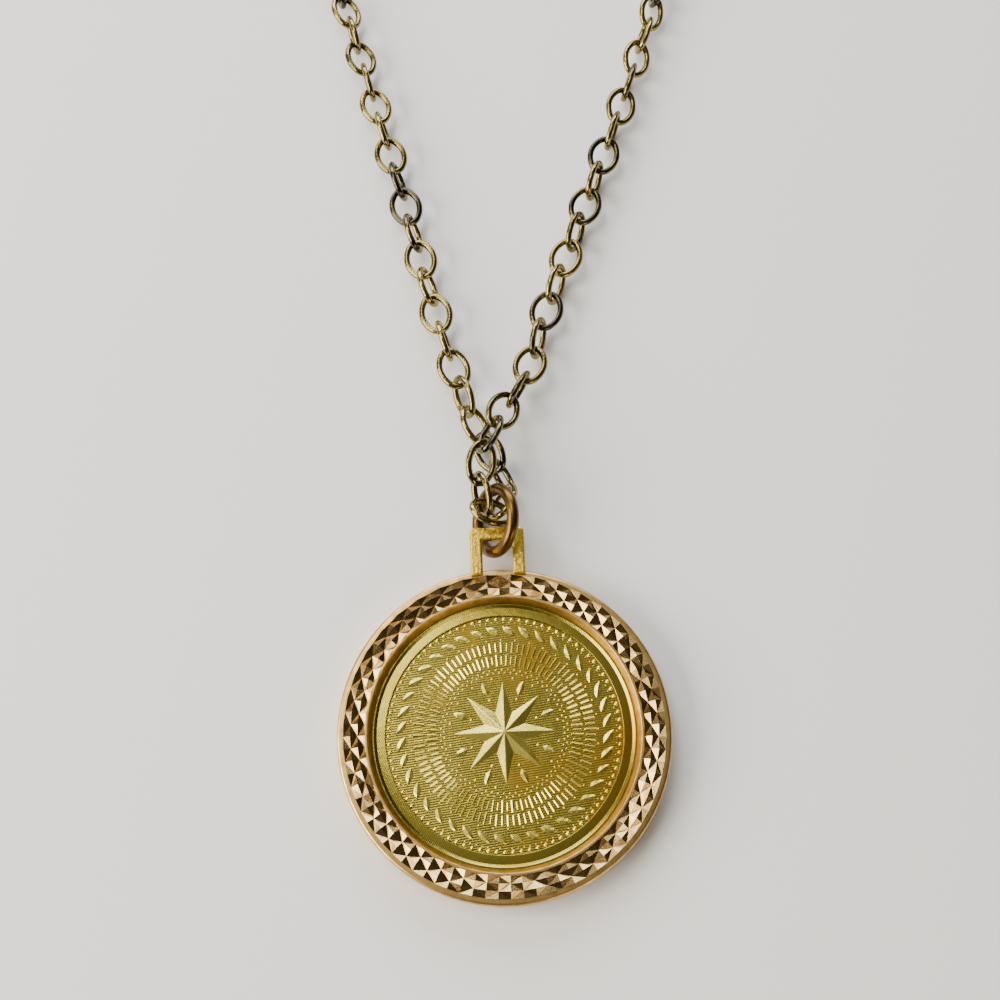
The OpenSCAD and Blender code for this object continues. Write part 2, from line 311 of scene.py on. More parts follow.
bail = {
    "width": 5.1,
    "legWidth": 1.15,
    "barWidth": 1.25,
    "windowTop": 17.8,      # from the pendant's centre
    "footR": 14.55,         # the legs end on this circle, inside the cup
    "cornerR": 0.45,
    "cornerSteps": 6,
    "low": 2.11,            # heights of its back and its front
    "high": 2.91,
    "edge": 0.2,
}
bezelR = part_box("bezel")[1].x / mm


def makeBezelCup(spec):
    edge = spec["turnedEdge"]
    seatOuter = spec["bandOuter"] - spec["seatInset"]
    seatInner = spec["bandInner"] + spec["seatInset"]
    seatZ = spec["plateau"] - spec["seatDepth"]
    # radius, height, corner radius
    outline = [
        (0, 0, 0),
        (bezelR - spec["backChamfer"], 0, edge),
        (bezelR, spec["backChamfer"], edge),
        (bezelR, spec["plateau"], spec["shoulderR"]),
        (seatOuter, spec["plateau"], 0),
        (seatOuter, seatZ, 0),
        (seatInner, seatZ, 0),
        (spec["bandInner"] + spec["lipFoot"], spec["plateau"], 0),
        (spec["bandInner"] + spec["lipHead"], spec["lipTop"], spec["lipEdge"]),
        (spec["lipInner"], spec["lipTop"], edge),
        (spec["mouth"], spec["mouthZ"], spec["mouthEdge"]),
        (spec["cupR"], spec["mouthZ"] - spec["mouthT"], 0),
        (spec["cupR"], spec["backT"], 0),
        (0, spec["backT"], 0),
    ]
    cup = turned("bezelCup", roundCorners(outline), spec["sides"])
    cleanUp(cup)
    sharpen(cup)
    cup.data.materials.append(finish["turnedRoseGold"])
    return cup


def makeDiamondBand(spec):
    rng = random.Random(spec["seed"])
    count = 2 * spec["cuts"]
    points = []
    for row in range(spec["rows"] + 1):
        share = row / spec["rows"]
        r = bezel["bandInner"] + (bezel["bandOuter"] - bezel["bandInner"]) * share
        dome = spec["dome"] * (1 - (2 * share - 1) ** 2)
        for i in range(count):
            high = spec["cutDepth"] if (row + i) % 2 == 0 else 0
            turn = math.pi * i / spec["cuts"] + rng.uniform(-1, 1) * spec["uneven"] / r
            z = spec["low"] + dome + high + rng.uniform(-1, 1) * spec["unevenHigh"]
            points.append((r * math.cos(turn) * mm, r * math.sin(turn) * mm, z * mm))
    base = len(points)
    floor = (bezel["plateau"] - spec["sink"]) * mm
    for row in (0, spec["rows"]):
        for i in range(count):
            x, y, z = points[row * count + i]
            points.append((x, y, floor))
    faces = []
    for row in range(spec["rows"]):
        for i in range(count):
            n = (i + 1) % count
            a, b = row * count + i, row * count + n
            c, d = (row + 1) * count + n, (row + 1) * count + i
            faces += [(a, b, d), (b, c, d)] if (row + i) % 2 == 0 else [(a, b, c), (a, c, d)]
    for i in range(count):
        n = (i + 1) % count
        top = spec["rows"] * count
        faces.append((n, i, base + i, base + n))
        faces.append((top + i, top + n, base + count + n, base + count + i))
        faces.append((base + i, base + count + i, base + count + n, base + n))
    piece = meshFrom("diamondBand", points, faces, smooth=False)
    cleanUp(piece)
    piece.data.materials.append(finish["diamondCutGold"])
    return piece


def makeBail(spec):
    half = spec["width"] / 2
    inner = half - spec["legWidth"]
    top = spec["windowTop"] + spec["barWidth"]

    def foot(x):
        return (x, math.sqrt(spec["footR"] ** 2 - x ** 2))

    outline = [foot(-half)]
    for side in (-1, 1):
        centre = (side * (half - spec["cornerR"]), top - spec["cornerR"])
        for k in range(spec["cornerSteps"] + 1):
            turn = math.pi / 2 * k / spec["cornerSteps"]
            turn = math.pi - turn if side < 0 else math.pi / 2 - turn
            outline.append((centre[0] + spec["cornerR"] * math.cos(turn),
                            centre[1] + spec["cornerR"] * math.sin(turn)))
    outline += [foot(half), foot(inner), (inner, spec["windowTop"]),
                (-inner, spec["windowTop"]), foot(-inner)]
    count = len(outline)
    points = [(x * mm, y * mm, z * mm) for z in (spec["low"], spec["high"]) for x, y in outline]
    faces = [list(range(count)), list(range(2 * count - 1, count - 1, -1))]
    faces += [(i, (i + 1) % count, count + (i + 1) % count, count + i) for i in range(count)]
    piece = meshFrom("bail", points, faces, smooth=False)
    cleanUp(piece)
    bevelPiece(piece, spec["edge"], segments=3, angle=30)
    piece.data.materials.append(finish["satinYellowGold"])
    return piece


for piece in (makeBezelCup(bezel), makeDiamondBand(band), makeBail(bail)):
    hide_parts("bezel")
    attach(piece, "root")
print("bezel made")

# Links, placed on the CAD chain's own links by Geometry Nodes

link = {
    "length": 4.6,
    "width": 3.4,
    "wire": 0.62,
    "endR": 1.05,           # radius of the link's two ends, at the wire's middle
    "along": 40,            # steps round the link and round the wire
    "around": 12,
    "seed": 7,
    "tarnishedShare": 0.18, # this share of the links is tarnished in full, the rest between these two
    "tarnishLeast": 0.3,
    "tarnishMost": 0.8,
}
chainFinish = {
    "bright": "988651",     # gold plating; each link lies between these two
    "dull": "72653A",
    "base": "403C36",       # dark grey base metal, where the plating has gone
    "spot": 1.6,            # mm across each bare spot
    "spotStart": 0.37,      # level of noise times tarnish at which a spot begins, and is whole
    "spotFull": 0.5,
    "spotCover": 0.9,
    "smoothest": 0.09,
    "roughest": 0.18,
    "cutStep": 0.36,        # mm along the wire from one tool cut to the next
    "cutSlant": 0.9,        # mm that a cut runs on along the wire, from one side of it to the other
    "cutDepth": 0.02,
    "cutStrength": 0.14,
}


def linkCentreline(spec, count):
    # four arcs met end to end, stepped evenly by length
    a = (spec["length"] - spec["wire"]) / 2
    b = (spec["width"] - spec["wire"]) / 2
    r = spec["endR"]
    side = ((a - r) ** 2 + b ** 2 - r ** 2) / (2 * (b - r))
    half = math.atan2(side - b, a - r)
    # centre, radius, first angle, last angle
    arcs = [
        (a - r, 0, r, -half, half),
        (0, b - side, side, half, math.pi - half),
        (r - a, 0, r, math.pi - half, math.pi + half),
        (0, side - b, side, math.pi + half, 2 * math.pi - half),
    ]
    whole = sum(arc[2] * (arc[4] - arc[3]) for arc in arcs)
    out = []
    for k in range(count):
        left = whole * k / count
        for x, y, radius, start, end in arcs:
            if left <= radius * (end - start):
                break
            left -= radius * (end - start)
        turn = start + left / radius
        out.append((x + radius * math.cos(turn), y + radius * math.sin(turn), turn))
    return out, whole


def makeLink(spec):
    centres, whole = linkCentreline(spec, spec["along"])
    points = []
    alongWire = []
    aroundWire = []
    for k, (x, y, turn) in enumerate(centres):
        for j in range(spec["around"]):
            spin = 2 * math.pi * j / spec["around"]
            out = spec["wire"] / 2 * math.cos(spin)
            points.append(((x + out * math.cos(turn)) * mm, (y + out * math.sin(turn)) * mm,
                           spec["wire"] / 2 * math.sin(spin) * mm))
            alongWire.append(whole * k / spec["along"])
            aroundWire.append(abs(2 * j / spec["around"] - 1))
    faces = []
    for k in range(spec["along"]):
        for j in range(spec["around"]):
            a, b = k * spec["around"], (k + 1) % spec["along"] * spec["around"]
            n = (j + 1) % spec["around"]
            faces.append((a + j, b + j, b + n, a + n))
    piece = meshFrom("oneLink", points, faces)
    for name, values in (("alongWire", alongWire), ("aroundWire", aroundWire)):
        piece.data.attributes.new(name, "FLOAT", "POINT").data.foreach_set("value", values)
    return piece


def islands(mesh):
    # loose parts of a mesh, as arrays of points, after doubles are merged
    work = bmesh.new()
    work.from_mesh(mesh)
    bmesh.ops.remove_doubles(work, verts=work.verts, dist=1e-6)
    seen = set()
    found = []
    for start in work.verts:
        if start in seen:
            continue
        group = []
        queue = [start]
        seen.add(start)
        while queue:
            vert = queue.pop()
            group.append(vert.co[:])
            for edge in vert.link_edges:
                other = edge.other_vert(vert)
                if other not in seen:
                    seen.add(other)
                    queue.append(other)
        found.append(np.array(group))
    work.free()
    return found


def linkPlace(points):
    # centre and turn of one CAD link: longest axis X, next Y
    middle = points.mean(0)
    values, axes = np.linalg.eigh(np.cov((points - middle).T))
    axes = axes[:, ::-1]
    if np.linalg.det(axes) < 0:
        axes[:, 2] *= -1
    spread = (points - middle) @ axes
    centre = middle + axes @ ((spread.max(0) + spread.min(0)) / 2)
    return centre, Matrix(axes.tolist()).to_euler()


def linkTree():
    tree = bpy.data.node_groups.new("linksOnPoints", "GeometryNodeTree")
    face = tree.interface
    face.new_socket("Geometry", in_out="INPUT", socket_type="NodeSocketGeometry")
    face.new_socket("Link", in_out="INPUT", socket_type="NodeSocketObject")
    face.new_socket("Material", in_out="INPUT", socket_type="NodeSocketMaterial")
    face.new_socket("Geometry", in_out="OUTPUT", socket_type="NodeSocketGeometry")
    start = addNode(tree, "NodeGroupInput")
    end = addNode(tree, "NodeGroupOutput")
    shape = addNode(tree, "GeometryNodeObjectInfo", {"Object": start.outputs["Link"]})
    turn = addNode(tree, "GeometryNodeInputNamedAttribute", {"Name": "linkTurn"}, data_type="FLOAT_VECTOR")
    spin = addNode(tree, "FunctionNodeEulerToRotation", {"Euler": turn.outputs["Attribute"]})
    copies = addNode(tree, "GeometryNodeInstanceOnPoints", {
        "Points": start.outputs["Geometry"], "Instance": shape.outputs["Geometry"],
        "Rotation": spin.outputs["Rotation"]})
    real = addNode(tree, "GeometryNodeRealizeInstances", {"Geometry": copies.outputs["Instances"]})
    painted = addNode(tree, "GeometryNodeSetMaterial", {
        "Geometry": real.outputs["Geometry"], "Material": start.outputs["Material"]})
    tree.links.new(painted.outputs["Geometry"], end.inputs["Geometry"])
    return tree


def runTree(piece, tree, values):
    change = piece.modifiers.new("copies", "NODES")
    change.node_group = tree
    for socket in tree.interface.items_tree:
        if socket.in_out == "INPUT" and socket.name in values:
            change[socket.identifier] = values[socket.name]
    applyModifiers(piece)


def makeChainMetal(spec):
    # gold plating worn to a dark grey base in spots, with fine slanting tool cuts on the wire
    material = bpy.data.materials.new("wornChainGold")
    material.use_nodes = True
    tree = material.node_tree
    shader = tree.nodes["Principled BSDF"]
    shader.inputs["Metallic"].default_value = 1.0
    place = addNode(tree, "ShaderNodeTexCoord").outputs["Object"]
    tint = addNode(tree, "ShaderNodeAttribute", attribute_name="tint").outputs["Fac"]
    dark = addNode(tree, "ShaderNodeAttribute", attribute_name="tarnish").outputs["Fac"]
    along = addNode(tree, "ShaderNodeAttribute", attribute_name="alongWire").outputs["Fac"]
    around = addNode(tree, "ShaderNodeAttribute", attribute_name="aroundWire").outputs["Fac"]
    gold = addNode(tree, "ShaderNodeMix", data_type="RGBA")
    tree.links.new(tint, gold.inputs[0])
    gold.inputs[6].default_value = toLinear(spec["bright"])
    gold.inputs[7].default_value = toLinear(spec["dull"])
    spots = addNode(tree, "ShaderNodeTexNoise",
                    {"Vector": place, "Scale": 1 / (spec["spot"] * mm), "Detail": 4.0})
    spread = addNode(tree, "ShaderNodeMath", {0: spots.outputs["Fac"], 1: dark}, operation="MULTIPLY")
    cover = addNode(tree, "ShaderNodeMapRange",
                    {"Value": spread.outputs["Value"], "From Min": spec["spotStart"],
                     "From Max": spec["spotFull"], "To Max": spec["spotCover"]})
    colour = addNode(tree, "ShaderNodeMix", data_type="RGBA")
    tree.links.new(cover.outputs["Result"], colour.inputs[0])
    tree.links.new(gold.outputs[2], colour.inputs[6])
    colour.inputs[7].default_value = toLinear(spec["base"])
    tree.links.new(colour.outputs[2], shader.inputs["Base Color"])
    rough = addNode(tree, "ShaderNodeMapRange",
                    {"Value": spots.outputs["Fac"], "To Min": spec["smoothest"], "To Max": spec["roughest"]})
    tree.links.new(rough.outputs["Result"], shader.inputs["Roughness"])
    slant = addNode(tree, "ShaderNodeMath", {0: around, 1: spec["cutSlant"]}, operation="MULTIPLY")
    cuts = addNode(tree, "ShaderNodeMath", {0: along, 1: slant.outputs["Value"]}, operation="ADD")
    wave = addNode(tree, "ShaderNodeMath",
                   {0: cuts.outputs["Value"], 1: 2 * math.pi / spec["cutStep"]}, operation="MULTIPLY")
    ridge = addNode(tree, "ShaderNodeMath", {0: wave.outputs["Value"]}, operation="SINE")
    bump = addNode(tree, "ShaderNodeBump",
                   {"Height": ridge.outputs["Value"], "Strength": spec["cutStrength"],
                    "Distance": spec["cutDepth"] * mm})
    tree.links.new(bump.outputs["Normal"], shader.inputs["Normal"])
    return material


def makeChain(name, node, shape, tree, material, rng):
    places = [linkPlace(group) for group in islands(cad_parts[node].data)]
    piece = meshFrom(name, [centre for centre, turn in places], [])
    values = {
        "linkTurn": [x for centre, turn in places for x in turn],
        "tint": [rng.random() for p in places],
        "tarnish": [
            1.0 if rng.random() < link["tarnishedShare"]
            else rng.uniform(link["tarnishLeast"], link["tarnishMost"]) for p in places],
    }
    turns = piece.data.attributes.new("linkTurn", "FLOAT_VECTOR", "POINT")
    turns.data.foreach_set("vector", values["linkTurn"])
    for key in ("tint", "tarnish"):
        piece.data.attributes.new(key, "FLOAT", "POINT").data.foreach_set("value", values[key])
    runTree(piece, tree, {"Link": shape, "Material": material})
    piece.data.polygons.foreach_set("use_smooth", [True] * len(piece.data.polygons))
    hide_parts(node)
    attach(piece, "root")
    print(name, len(places), "links,", len(piece.data.polygons), "faces")


linkShape = makeLink(link)
linkNodes = linkTree()
chainMetal = makeChainMetal(chainFinish)
linkRng = random.Random(link["seed"])
for name, node in (("chainLeft", "chain_left"), ("chainRight", "chain_right")):
    makeChain(name, node, linkShape, linkNodes, chainMetal, linkRng)
bpy.data.objects.remove(linkShape)

# Coin: blank with its turned-up edge, and the raised ornament in rings round a star

coin = {
    "r": 12.2,
    "low": 0.86,            # height of the coin's underside
    "backEdge": 0.1,        # radius of the corner under the coin
    "rimZ": 1.86,
    "rimEdge": 0.05,        # radius of the rim's corners
    "fieldR": 10.7,
    "fieldZ": 1.71,
    "fieldSlope": 0.03,     # how far the step down to the field leans
    "edgeR": 11.78,
    "edgeWidth": 0.28,
    "edgeHigh": 0.14,
    "edgeTop": 0.03,        # radius of the turned-up edge's top, and of its foot
    "edgeFoot": 0.06,
    "rimRise": 0.05,        # the rim is a little dished: higher inside, lower outside
    "rimFall": 0.11,
    "sides": 240,
    "relief": 0.14,         # height of the ornament above the field
    "sink": 0.06,           # depth of the star's foot below the field
    "unevenSize": (0.9, 1.08), # each copy's size lies between these shares of its ring's
    "starD": 9.4,
    "starPoints": 8,
    "starNotch": 0.42,      # radius of the notches as a share of the points'
    "starHigh": 0.42,
    "starEdge": 0.05,
}
# low round domes; high is a share of the relief
coinDomes = {
    "bead": {"r": 0.21, "high": 1.0, "sides": 10},
    "dot": {"r": 0.12, "high": 0.8, "sides": 7},
}
domeRows = ((0.55, 0.82), (1.0, 0.0), (1.0, -0.4))  # each row's shares of the dome's radius and height
# outlines in mm, raised to a ridge whose half length is a share of the outline's
coinRidges = {
    "leaf": {
        "outline": [(-0.75, 0), (-0.38, -0.26), (0, -0.31), (0.38, -0.2),
                    (0.75, 0), (0.38, 0.2), (0, 0.31), (-0.38, 0.26)],
        "spine": 0.8},
    "ray": {
        "outline": [(-0.55, 0), (-0.5, -0.1), (0.5, -0.1), (0.55, 0), (0.5, 0.1), (-0.5, 0.1)],
        "spine": 0.85},
    "petal": {
        "outline": [(-0.7, 0), (-0.3, -0.3), (0.25, -0.22), (0.6, 0), (0.25, 0.22), (-0.3, 0.3)],
        "spine": 0.6},
}
ridgeShoulder = 0.45    # height of a ridged shape's side as a share of its ridge, and depth of its skirt
ridgeSkirt = 0.4
# each ring of ornament: shape, count, radius, turn of the first one and of each by itself in degrees, size
coinRings = [
    ("bead", 90, 10.44, 0, 0, 1.0),
    ("dot", 120, 10.12, 1.5, 0, 0.62),
    ("leaf", 40, 9.33, 4.5, 55, 1.0),
    ("dot", 40, 8.46, 0, 0, 0.9),
    ("ray", 48, 7.755, 0, 0, 1.0),
    ("ray", 48, 7.755, 3.75, 0, 0.8),
    ("ray", 48, 6.555, 3.75, 0, 1.0),
    ("ray", 48, 6.555, 0, 0, 0.7),
    ("dot", 64, 5.72, 0, 0, 0.9),
    ("dot", 64, 5.42, 2.8125, 0, 0.9),
    ("petal", 8, 4.3, 112.5, 0, 1.0),
    ("dot", 8, 3.2, 112.5, 0, 1.3),
    ("dot", 16, 4.95, 11.25, 0, 1.2),
]
coinMetal = {
    "base": "AE9E44",       # struck brass under a thin greenish lacquer
    "grooveShade": "786A24",       # painted shade in the grooves of the field's fine lines
    "raised": "FAE66E",     # the ornament: the same brass painted much paler, a painted highlight where the raised shapes catch the light
    "amber": "A67A1C",      # where the lacquer has aged
    "amberSize": 7.0,       # mm across each amber patch
    "amberStart": 0.53,     # level of noise at which a patch begins, and is whole
    "amberFull": 0.74,
    "amberCover": 0.7,
    "rough": 0.25,
    "smoothest": 0.8,       # the roughness runs between these shares of it
    "roughest": 1.3,
    "lineStep": 0.21,       # mm between the field's fine lines; drawn a little coarse so that they show
    "lineTurn": 7,          # degrees from +X
    "lineDepth": 0.02,
    "grooveShadeEnd": 0.4,         # level of a line's wave, from -1 up, at which its painted groove shade ends
    "rimLineStep": 0.16,
    "rimLineTurn": 62,
    "rimLineShare": 0.3,    # strength of the rim's lines as a share of the field's
    "ripple": 1.3,          # mm across each soft dent of the thin metal
    "rippleDepth": 0.1,
    "rippleStrength": 0.25,
    "grit": 0.23,           # mm across each fine grain left by the die
    "gritDepth": 0.03,
    "gritStrength": 0.12,
    "cutField": 0.3,        # how strongly the lines are cut in the field, and on the ornament
    "cutRelief": 0.0,
}


def makeCoinMetal(name, spec, high, low, cut):
    # struck thin brass: fine engraved lines with painted shade in their grooves, soft dents, amber patches in
    # the lacquer
    material = bpy.data.materials.new(name)
    material.use_nodes = True
    tree = material.node_tree
    shader = tree.nodes["Principled BSDF"]
    shader.inputs["Metallic"].default_value = 1.0
    place = addNode(tree, "ShaderNodeTexCoord").outputs["Object"]
    parts = addNode(tree, "ShaderNodeSeparateXYZ", {"Vector": place})
    flat = addNode(tree, "ShaderNodeCombineXYZ", {"X": parts.outputs["X"], "Y": parts.outputs["Y"]})
    away = addNode(tree, "ShaderNodeVectorMath", {0: flat.outputs["Vector"]}, operation="LENGTH")
    onRim = addNode(tree, "ShaderNodeMath",
                    {0: away.outputs["Value"], 1: coin["fieldR"] * mm}, operation="GREATER_THAN")
    waves = []
    for turn, step in ((spec["lineTurn"], spec["lineStep"]), (spec["rimLineTurn"], spec["rimLineStep"])):
        across = (-math.sin(math.radians(turn)), math.cos(math.radians(turn)), 0)
        along = addNode(tree, "ShaderNodeVectorMath",
                        {0: flat.outputs["Vector"], 1: across}, operation="DOT_PRODUCT")
        phase = addNode(tree, "ShaderNodeMath",
                        {0: along.outputs["Value"], 1: 2 * math.pi / (step * mm)}, operation="MULTIPLY")
        waves.append(addNode(tree, "ShaderNodeMath", {0: phase.outputs["Value"]}, operation="SINE"))
    line = addNode(tree, "ShaderNodeMix", {"Factor": onRim.outputs["Value"]})
    tree.links.new(waves[0].outputs["Value"], line.inputs[2])
    weak = addNode(tree, "ShaderNodeMath",
                   {0: waves[1].outputs["Value"], 1: spec["rimLineShare"]}, operation="MULTIPLY")
    tree.links.new(weak.outputs["Value"], line.inputs[3])
    # colour: painted shade in the grooves of the lines, amber in soft patches
    depth = addNode(tree, "ShaderNodeMapRange",
                    {"Value": line.outputs[0], "From Min": -1.0, "From Max": spec["grooveShadeEnd"]})
    ground = addNode(tree, "ShaderNodeMix", data_type="RGBA")
    tree.links.new(depth.outputs["Result"], ground.inputs[0])
    ground.inputs[6].default_value = toLinear(low)
    ground.inputs[7].default_value = toLinear(high)
    patch = addNode(tree, "ShaderNodeTexNoise",
                    {"Vector": place, "Scale": 1 / (spec["amberSize"] * mm), "Detail": 3.0, "Roughness": 0.6})
    aged = addNode(tree, "ShaderNodeMapRange",
                   {"Value": patch.outputs["Fac"], "From Min": spec["amberStart"],
                    "From Max": spec["amberFull"], "To Max": spec["amberCover"]})
    colour = addNode(tree, "ShaderNodeMix", data_type="RGBA")
    tree.links.new(aged.outputs["Result"], colour.inputs[0])
    tree.links.new(ground.outputs[2], colour.inputs[6])
    colour.inputs[7].default_value = toLinear(spec["amber"])
    tree.links.new(colour.outputs[2], shader.inputs["Base Color"])
    rough = addNode(tree, "ShaderNodeMapRange",
                    {"Value": patch.outputs["Fac"], "To Min": spec["rough"] * spec["smoothest"],
                     "To Max": spec["rough"] * spec["roughest"]})
    tree.links.new(rough.outputs["Result"], shader.inputs["Roughness"])
    dents = addNode(tree, "ShaderNodeTexNoise",
                    {"Vector": place, "Scale": 1 / (spec["ripple"] * mm), "Detail": 2.0})
    soft = addNode(tree, "ShaderNodeBump",
                   {"Height": dents.outputs["Fac"], "Strength": spec["rippleStrength"],
                    "Distance": spec["rippleDepth"] * mm})
    grit = addNode(tree, "ShaderNodeTexVoronoi", {"Vector": place, "Scale": 1 / (spec["grit"] * mm)})
    fine = addNode(tree, "ShaderNodeBump",
                   {"Height": grit.outputs["Distance"], "Strength": spec["gritStrength"],
                    "Distance": spec["gritDepth"] * mm, "Normal": soft.outputs["Normal"]})
    lined = addNode(tree, "ShaderNodeBump",
                    {"Height": line.outputs[0], "Strength": cut, "Distance": spec["lineDepth"] * mm,
                     "Normal": fine.outputs["Normal"]})
    tree.links.new(lined.outputs["Normal"], shader.inputs["Normal"])
    return material


def makeCoinBlank(spec):
    # radius, height, corner radius
    outline = [
        (0, spec["low"], 0),
        (spec["r"], spec["low"], spec["backEdge"]),
        (spec["r"], spec["rimZ"], spec["rimEdge"]),
        (spec["edgeR"], spec["rimZ"], 0),
        (spec["edgeR"], spec["rimZ"] + spec["edgeHigh"], spec["edgeTop"]),
        (spec["edgeR"] - spec["edgeWidth"], spec["rimZ"] - spec["rimFall"], spec["edgeFoot"]),
        (spec["fieldR"], spec["rimZ"] + spec["rimRise"], spec["rimEdge"]),
        (spec["fieldR"] - spec["fieldSlope"], spec["fieldZ"], 0),
        (0, spec["fieldZ"], 0),
    ]
    piece = turned("coinBlank", roundCorners(outline), spec["sides"])
    cleanUp(piece)
    sharpen(piece)
    return piece


def dome(name, spec, relief):
    # low round dome, its skirt sunk below the field
    r = spec["r"]
    high = spec["high"] * relief
    sides = spec["sides"]
    points = [(0, 0, high * mm)]
    for share, level in domeRows:
        for k in range(sides):
            turn = 2 * math.pi * k / sides
            points.append((r * share * math.cos(turn) * mm, r * share * math.sin(turn) * mm,
                           high * level * mm))
    faces = [(0, 1 + k, 1 + (k + 1) % sides) for k in range(sides)]
    last = len(domeRows) - 1
    for row in range(last):
        for k in range(sides):
            a, b = 1 + row * sides + k, 1 + row * sides + (k + 1) % sides
            faces.append((a, a + sides, b + sides, b))
    faces.append([1 + last * sides + k for k in range(sides)][::-1])
    piece = meshFrom(name, points, faces)
    cleanUp(piece)
    return piece


def ridged(name, spec, high):
    # flat outline raised to a ridge along the middle
    outline = spec["outline"]
    count = len(outline)
    reach = max(x for x, y in outline) * spec["spine"]
    points = [(x * mm, y * mm, ridgeShoulder * high * mm) for x, y in outline]
    points += [(x * mm, y * mm, -ridgeSkirt * high * mm) for x, y in outline]
    points += [(max(-reach, min(reach, x)) * mm, 0, high * mm) for x, y in outline]
    faces = []
    for i in range(count):
        n = (i + 1) % count
        faces.append((i, n, 2 * count + n, 2 * count + i))
        faces.append((n, i, count + i, count + n))
    faces.append([count + i for i in range(count)][::-1])
    piece = meshFrom(name, points, faces, smooth=False)
    cleanUp(piece, 1e-6)
    return piece


def ringTree(unevenSize):
    # copies of a shape in a ring, each turned to its place and a little uneven, as struck work is
    tree = bpy.data.node_groups.new("ringOfCopies", "GeometryNodeTree")
    face = tree.interface
    for name, kind in (("Geometry", "Geometry"), ("Shape", "Object"), ("Material", "Material"),
                       ("Count", "Int"), ("Radius", "Float"), ("Height", "Float"), ("Start", "Float"),
                       ("Lean", "Float"), ("Size", "Float"), ("Seed", "Int")):
        face.new_socket(name, in_out="INPUT", socket_type="NodeSocket" + kind)
    face.new_socket("Geometry", in_out="OUTPUT", socket_type="NodeSocketGeometry")
    start = addNode(tree, "NodeGroupInput").outputs
    end = addNode(tree, "NodeGroupOutput")
    index = addNode(tree, "GeometryNodeInputIndex").outputs["Index"]
    step = addNode(tree, "ShaderNodeMath", {0: 2 * math.pi, 1: start["Count"]}, operation="DIVIDE")
    turn = addNode(tree, "ShaderNodeMath",
                   {0: index, 1: step.outputs["Value"], 2: start["Start"]}, operation="MULTIPLY_ADD")
    sides = []
    for kind in ("COSINE", "SINE"):
        wave = addNode(tree, "ShaderNodeMath", {0: turn.outputs["Value"]}, operation=kind)
        sides.append(addNode(tree, "ShaderNodeMath", {0: wave.outputs["Value"], 1: start["Radius"]},
                             operation="MULTIPLY").outputs["Value"])
    place = addNode(tree, "ShaderNodeCombineXYZ", {"X": sides[0], "Y": sides[1], "Z": start["Height"]})
    spots = addNode(tree, "GeometryNodePoints",
                    {"Count": start["Count"], "Position": place.outputs["Vector"]})
    lean = addNode(tree, "ShaderNodeMath", {0: turn.outputs["Value"], 1: start["Lean"]}, operation="ADD")
    spin = addNode(tree, "ShaderNodeCombineXYZ", {"Z": lean.outputs["Value"]})
    spun = addNode(tree, "FunctionNodeEulerToRotation", {"Euler": spin.outputs["Vector"]})
    uneven = addNode(tree, "FunctionNodeRandomValue", data_type="FLOAT")
    uneven.inputs[2].default_value = unevenSize[0]
    uneven.inputs[3].default_value = unevenSize[1]
    tree.links.new(start["Seed"], uneven.inputs["Seed"])
    scale = addNode(tree, "ShaderNodeMath", {0: uneven.outputs[1], 1: start["Size"]}, operation="MULTIPLY")
    shape = addNode(tree, "GeometryNodeObjectInfo", {"Object": start["Shape"]})
    copies = addNode(tree, "GeometryNodeInstanceOnPoints", {
        "Points": spots.outputs["Points"], "Instance": shape.outputs["Geometry"],
        "Rotation": spun.outputs["Rotation"], "Scale": scale.outputs["Value"]})
    real = addNode(tree, "GeometryNodeRealizeInstances", {"Geometry": copies.outputs["Instances"]})
    painted = addNode(tree, "GeometryNodeSetMaterial", {
        "Geometry": real.outputs["Geometry"], "Material": start["Material"]})
    tree.links.new(painted.outputs["Geometry"], end.inputs["Geometry"])
    return tree


def makeStar(spec):
    count = 2 * spec["starPoints"]
    tip = spec["starD"] / 2
    rim = []
    for i in range(count):
        r = tip if i % 2 == 0 else tip * spec["starNotch"]
        turn = math.pi / 2 + math.pi * i / spec["starPoints"]
        rim.append((r * math.cos(turn) * mm, r * math.sin(turn) * mm))
    top = spec["fieldZ"] * mm
    points = [(0, 0, top + spec["starHigh"] * mm)]
    points += [(x, y, top) for x, y in rim] + [(x, y, top - spec["sink"] * mm) for x, y in rim]
    faces = [(0, 1 + i, 1 + (i + 1) % count) for i in range(count)]
    for i in range(count):
        n = (i + 1) % count
        faces.append((1 + i, 1 + count + i, 1 + count + n, 1 + n))
    faces.append([1 + count + i for i in range(count)][::-1])
    piece = meshFrom("star", points, faces, smooth=False)
    cleanUp(piece)
    bevelPiece(piece, spec["starEdge"], segments=1, angle=12)
    return piece


def makeCoinRelief(spec, rings, metal):
    shapes = {kind: dome(kind, size, spec["relief"]) for kind, size in coinDomes.items()}
    shapes.update({kind: ridged(kind, size, spec["relief"]) for kind, size in coinRidges.items()})
    tree = ringTree(spec["unevenSize"])
    pieces = [makeStar(spec)]
    for number, (kind, count, radius, start, lean, size) in enumerate(rings):
        ring = meshFrom("ring" + str(number), [(0, 0, 0)], [])
        runTree(ring, tree, {
            "Shape": shapes[kind], "Material": metal, "Count": count, "Radius": radius * mm,
            "Height": spec["fieldZ"] * mm, "Start": math.radians(start), "Lean": math.radians(lean),
            "Size": size, "Seed": number})
        pieces.append(ring)
    for shape in shapes.values():
        bpy.data.objects.remove(shape)
    pieces[0].data.materials.append(metal)
    return joined("coinRelief", pieces)


# the field's brass, with painted shade in the grooves of its fine lines
struckBrass = makeCoinMetal("struckLacqueredBrass", coinMetal,
                            coinMetal["base"], coinMetal["grooveShade"], coinMetal["cutField"])
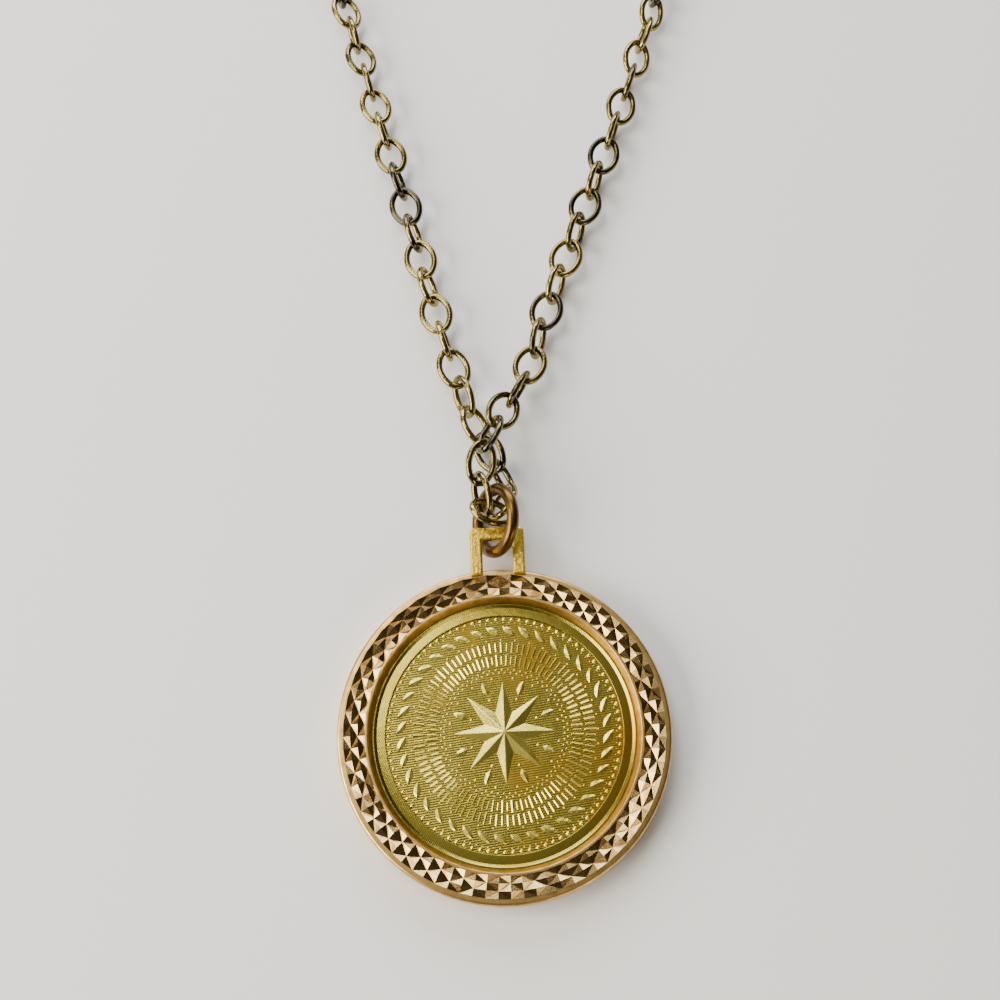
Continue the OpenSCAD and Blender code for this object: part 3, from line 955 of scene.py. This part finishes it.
# the ornament's copy of the brass is painted much paler, a painted highlight
paleHighlightBrass = makeCoinMetal("struckBrassPaintedHighlight", coinMetal,
                            coinMetal["raised"], coinMetal["raised"], coinMetal["cutRelief"])
coinBlank = makeCoinBlank(coin)
coinBlank.data.materials.append(struckBrass)
coinRelief = makeCoinRelief(coin, coinRings, paleHighlightBrass)
for piece in (coinBlank, coinRelief):
    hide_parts("coin")
    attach(piece, "root")
print("coin made,", len(coinRelief.data.polygons), "faces of relief")

# Jump ring and clasp keep their CAD shapes

for node, metal in (("jump_ring", finish["agedBronze"]), ("clasp", chainMetal)):
    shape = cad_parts[node]
    shape.data.materials.clear()
    shape.data.materials.append(metal)

# Floor and light

studio = {
    "floorSize": 3.0,       # m
    "floor": "ECEBE9",
    "floorRough": 0.9,
    "sky": "D8D4CC",
    "skyHigh": 0.62,        # overhead and towards the window, as a pale ceiling
    "skyLow": 0.1,          # away from it and at the horizon, as a darker room
    "skyWay": (-0.36, 0.3, 0.88), # direction of its brightest part
    "skyEdge": 0.45,        # cosine of the angle from skyWay at which the darker room begins
    "lamps": [
        # name, place in mm, width and height in mm, power in W, colour
        ("window", (-430, -90, 240), 480, 300, 5.5, "FFF8EC"),
        ("windowBack", (-60, 480, 250), 560, 240, 3.4, "F4F7FF"),
        ("roomRight", (220, -380, 200), 220, 140, 0.5, "FFF1DD"),
        ("ceiling", (-175, 205, 480), 240, 230, 1.1, "FFFCF2"),
    ],
}


def makeStudio(spec):
    half = spec["floorSize"] / 2
    corners = [(-half, -half, 0), (half, -half, 0), (half, half, 0), (-half, half, 0)]
    floor = meshFrom("floor", corners, [(0, 1, 2, 3)])
    paint = bpy.data.materials.new("paleFloor")
    paint.use_nodes = True
    shader = paint.node_tree.nodes["Principled BSDF"]
    shader.inputs["Base Color"].default_value = toLinear(spec["floor"])
    shader.inputs["Roughness"].default_value = spec["floorRough"]
    floor.data.materials.append(paint)
    world = bpy.data.worlds.new("sky")
    world.use_nodes = True
    tree = world.node_tree
    back = tree.nodes["Background"]
    back.inputs["Color"].default_value = toLinear(spec["sky"])
    way = addNode(tree, "ShaderNodeTexCoord").outputs["Generated"]
    toward = addNode(tree, "ShaderNodeVectorMath", {0: way, 1: spec["skyWay"]}, operation="DOT_PRODUCT")
    level = addNode(tree, "ShaderNodeMapRange", {
        "Value": toward.outputs["Value"], "From Min": spec["skyEdge"], "From Max": 1.0,
        "To Min": spec["skyLow"], "To Max": spec["skyHigh"]}, interpolation_type="SMOOTHSTEP")
    tree.links.new(level.outputs["Result"], back.inputs["Strength"])
    bpy.context.scene.world = world
    for name, place, width, height, power, colour in spec["lamps"]:
        data = bpy.data.lights.new(name, "AREA")
        data.shape = "RECTANGLE"
        data.size = width * mm
        data.size_y = height * mm
        data.energy = power
        data.color = toLinear(colour)[:3]
        lamp = bpy.data.objects.new(name, data)
        lamp.location = Vector(place) * mm
        lamp.rotation_euler = (-lamp.location).to_track_quat("-Z", "Y").to_euler()
        bpy.context.scene.collection.objects.link(lamp)


makeStudio(studio)
print("studio made")
